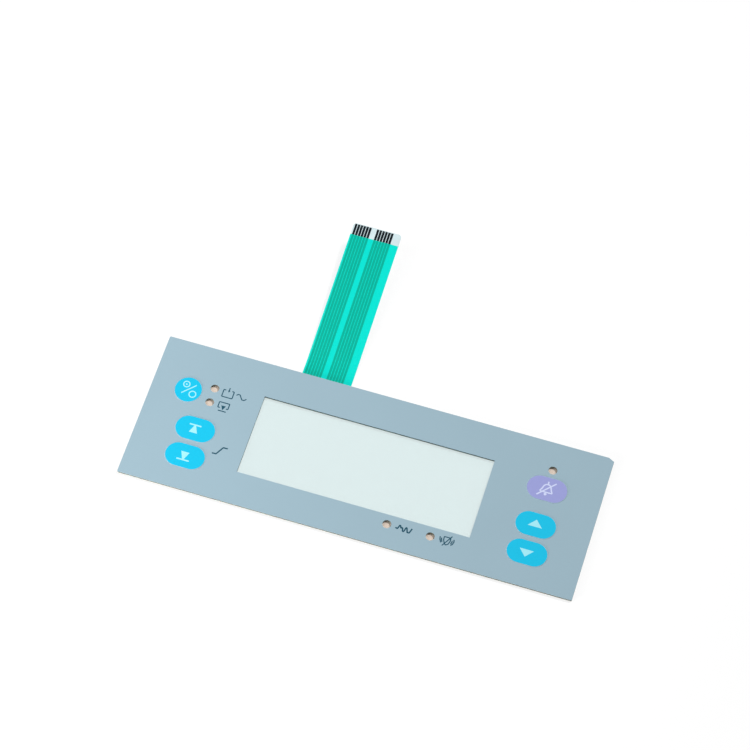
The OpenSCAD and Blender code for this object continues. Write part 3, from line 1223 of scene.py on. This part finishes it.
def pale_surround(stage):
    """A world that is white to the camera and gives only a little light."""
    world = bpy.data.worlds.new("Pale surround")
    world.use_nodes = True
    tree = world.node_tree
    tree.nodes.clear()
    strength = add_node(
        tree,
        "ShaderNodeMapRange",
        inputs={"Value": seen_directly(tree), "To Min": stage.surround, "To Max": 1.0},
    )
    sky = add_node(
        tree,
        "ShaderNodeBackground",
        inputs={"Color": (1, 1, 1, 1), "Strength": strength.outputs["Result"]},
    )
    add_node(tree, "ShaderNodeOutputWorld", inputs={"Surface": sky.outputs["Background"]})
    return world


def add_camera(stage):
    """The photograph's camera: round its target by azimuth and elevation."""
    data = bpy.data.cameras.new("Camera")
    data.lens = stage.lens
    camera = new_object("Camera", data)
    back = Vector(
        (
            math.sin(stage.azimuth) * math.cos(stage.elevation),
            -math.cos(stage.azimuth) * math.cos(stage.elevation),
            math.sin(stage.elevation),
        )
    )
    turned = (-back).to_track_quat("-Z", "Y").to_matrix() @ Matrix.Rotation(stage.roll, 3, "Z")
    camera.matrix_world = Matrix.Translation(Vector(stage.target) + back * stage.distance) @ turned.to_4x4()
    bpy.context.scene.camera = camera


class KEYPAD_OT_stage(bpy.types.Operator):
    """Set the floor, the lamps, the surround and the camera"""

    bl_idname = "keypad.stage"
    bl_label = "Stage"

    def execute(self, context):
        scene = context.scene
        stage = scene.keypad_stage
        add_floor()
        for name, power_name, width, place, aim in LAMPS:
            add_lamp(name, getattr(stage, power_name), width, place, aim)
        scene.world = pale_surround(stage)
        scene.view_settings.view_transform = "Standard"
        add_camera(stage)
        return {"FINISHED"}


class KEYPAD_PT_panel(bpy.types.Panel):
    """Lists the steps that dress the keypad"""

    bl_idname = "KEYPAD_PT_panel"
    bl_label = "Membrane keypad"
    bl_space_type = "VIEW_3D"
    bl_region_type = "UI"
    bl_category = "Keypad"

    def draw(self, context):
        for step in STEPS:
            self.layout.operator(step.bl_idname)


STEPS = (
    KEYPAD_OT_overlay,
    KEYPAD_OT_key_faces,
    KEYPAD_OT_key_signs,
    KEYPAD_OT_panel_signs,
    KEYPAD_OT_window,
    KEYPAD_OT_stack,
    KEYPAD_OT_domes,
    KEYPAD_OT_tail,
    KEYPAD_OT_stage,
)
GROUPS = {"keypad_sizes": KeypadSizes, "keypad_colours": KeypadColours, "keypad_stage": KeypadStage}


def register():
    for cls in (*GROUPS.values(), *STEPS, KEYPAD_PT_panel):
        bpy.utils.register_class(cls)
    for name, cls in GROUPS.items():
        setattr(bpy.types.Scene, name, PointerProperty(type=cls))


def unregister():
    for name in GROUPS:
        delattr(bpy.types.Scene, name)
    for cls in (KEYPAD_PT_panel, *reversed(STEPS), *reversed(GROUPS.values())):
        bpy.utils.unregister_class(cls)


def main():
    """Dresses the keypad step by step."""
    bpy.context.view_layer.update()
    register()
    bpy.ops.keypad.overlay()
    bpy.ops.keypad.key_faces()
    bpy.ops.keypad.key_signs()
    bpy.ops.keypad.panel_signs()
    bpy.ops.keypad.window()
    bpy.ops.keypad.stack()
    bpy.ops.keypad.domes()
    bpy.ops.keypad.tail()
    bpy.ops.keypad.stage()


if __name__ == "__main__":
    main()
